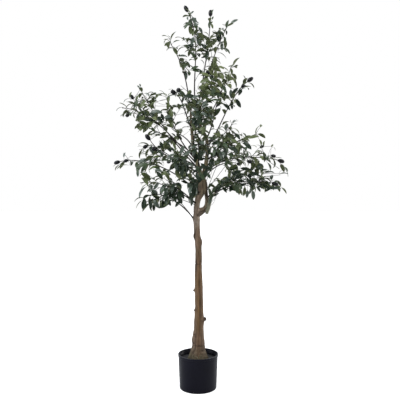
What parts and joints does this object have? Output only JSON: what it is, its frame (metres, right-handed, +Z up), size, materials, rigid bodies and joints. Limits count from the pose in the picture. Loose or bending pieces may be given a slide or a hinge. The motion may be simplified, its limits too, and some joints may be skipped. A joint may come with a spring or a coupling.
{
  "type": "artificial potted olive tree",
  "caption": "Artificial olive tree: a slender forked trunk, an open uneven crown of wired sprays with drooping green leaves and dark fruit, in a plain black nursery pot.",
  "frame": {"origin": "centre of the pot's flat underside, which stands on the floor", "axes": "+Z up along the trunk to the top of the crown; -Y is the front, -X the tree's left as seen from the front, +X its right"},
  "size_m": [0.7114, 0.5414, 1.599],
  "materials": {
    "pot_plastic": "satin black moulded plastic",
    "pot_filling": "rough dark cast filling",
    "trunk_bark": "matt grained bark",
    "bough_bark": "matt bark, a little paler",
    "foliage": "matt to satin green leaves",
    "stem_wrap": "matt grey-brown wrapped wire",
    "olive_skin": "satin black fruit"
  },
  "bodies": {
    "root": {"bough_leading": "bough_bark", "bough_left": "bough_bark", "pot": "pot_plastic", "pot_filling": "pot_filling", "spray_back_high": "foliage", "spray_back_left": "foliage", "spray_back_low": "foliage", "spray_back_low_left": "foliage", "spray_back_low_right": "foliage", "spray_back_right": "foliage", "spray_crest_front": "foliage", "spray_crest_inner": "foliage", "spray_crest_left": "foliage", "spray_crest_right": "foliage", "spray_far_high_left": "foliage", "spray_far_left": "foliage", "spray_far_right": "foliage", "spray_front_centre": "foliage", "spray_front_crest": "foliage", "spray_front_left": "foliage", "spray_front_low": "foliage", "spray_front_right": "foliage", "spray_high_left": "foliage", "spray_high_right": "foliage", "spray_inner_left": "foliage", "spray_low_back_left": "foliage", "spray_low_far_right": "foliage", "spray_low_front_left": "foliage", "spray_low_front_right": "foliage", "spray_low_left": "foliage", "spray_low_right": "foliage", "spray_middle_left": "foliage", "spray_middle_right": "foliage", "spray_side_left": "foliage", "spray_top_centre": "foliage", "spray_top_far_right": "foliage", "spray_top_left": "foliage", "spray_top_right": "foliage", "spray_upright_left": "foliage", "trunk": "trunk_bark"}
  },
  "joints": []
}
